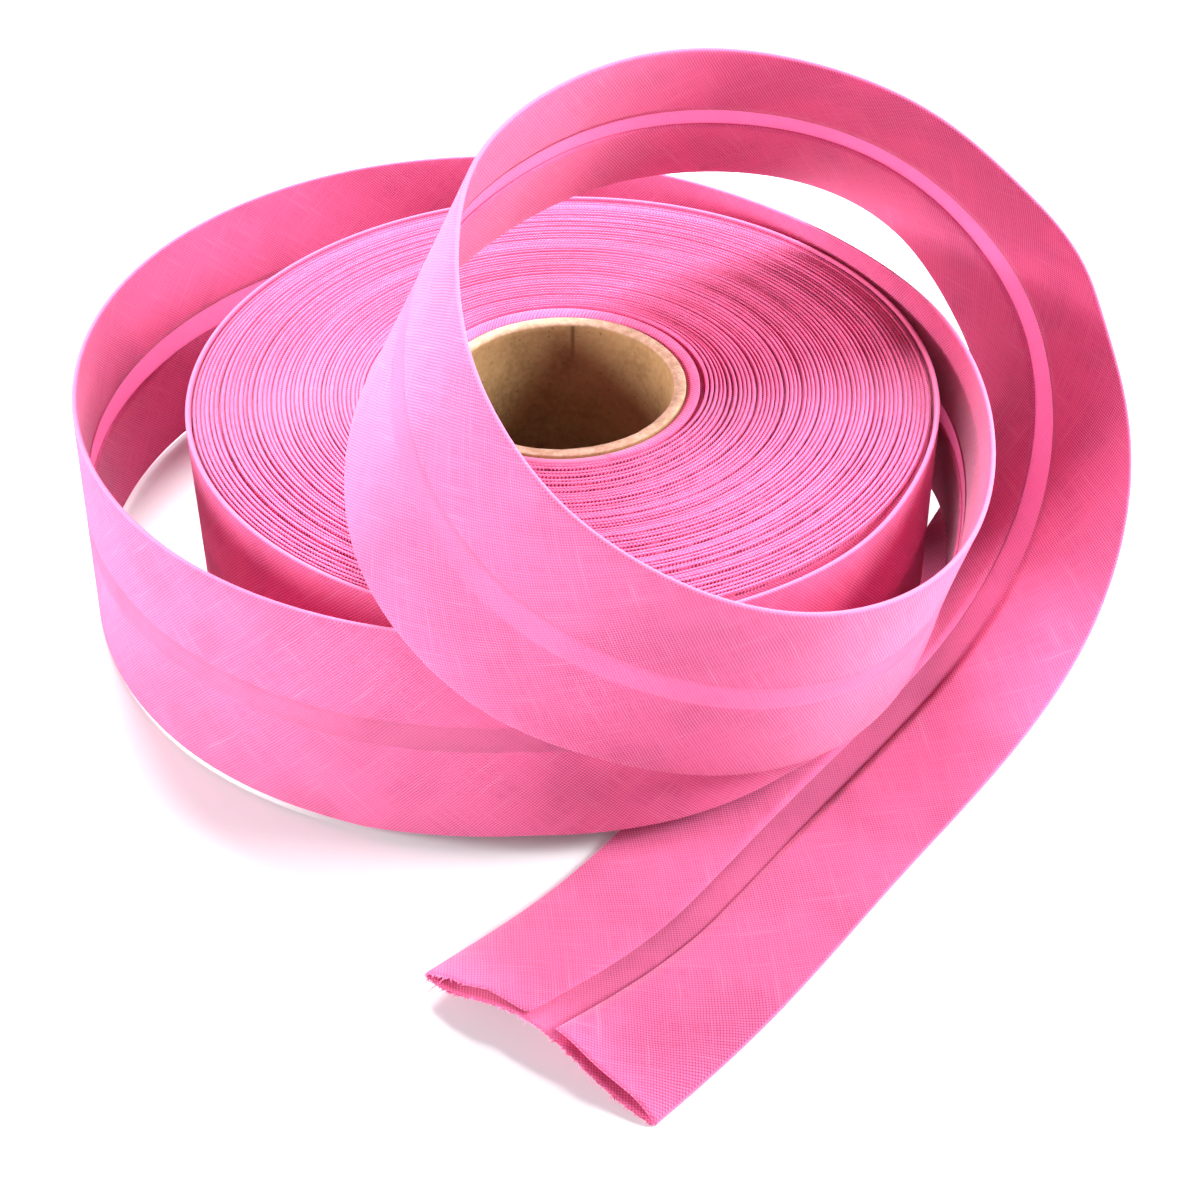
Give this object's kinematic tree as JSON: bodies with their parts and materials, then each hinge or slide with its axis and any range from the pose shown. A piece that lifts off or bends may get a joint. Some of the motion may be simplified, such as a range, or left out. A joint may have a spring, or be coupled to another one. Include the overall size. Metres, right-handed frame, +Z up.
{
  "type": "roll of bias binding",
  "caption": "Wound roll of wide single-fold bias binding on a cardboard core, its loose end run round it, raised in a leaning hoop and laid flat with the folded edges up.",
  "frame": {"origin": "middle of the whole part's outline seen from above, on the surface that it rests on", "axes": "+Z up along the roll's axis, -Y towards the cut end, +X to the right of the roll"},
  "size_m": [0.1798, 0.2004, 0.0939],
  "materials": {
    "cloth": "matte plain-woven cotton cut on the bias, hot pink",
    "cardboard": "uncoated brown cardboard"
  },
  "bodies": {
    "root": {"core": "cardboard", "roll": "cloth", "tail": "cloth"}
  },
  "joints": []
}
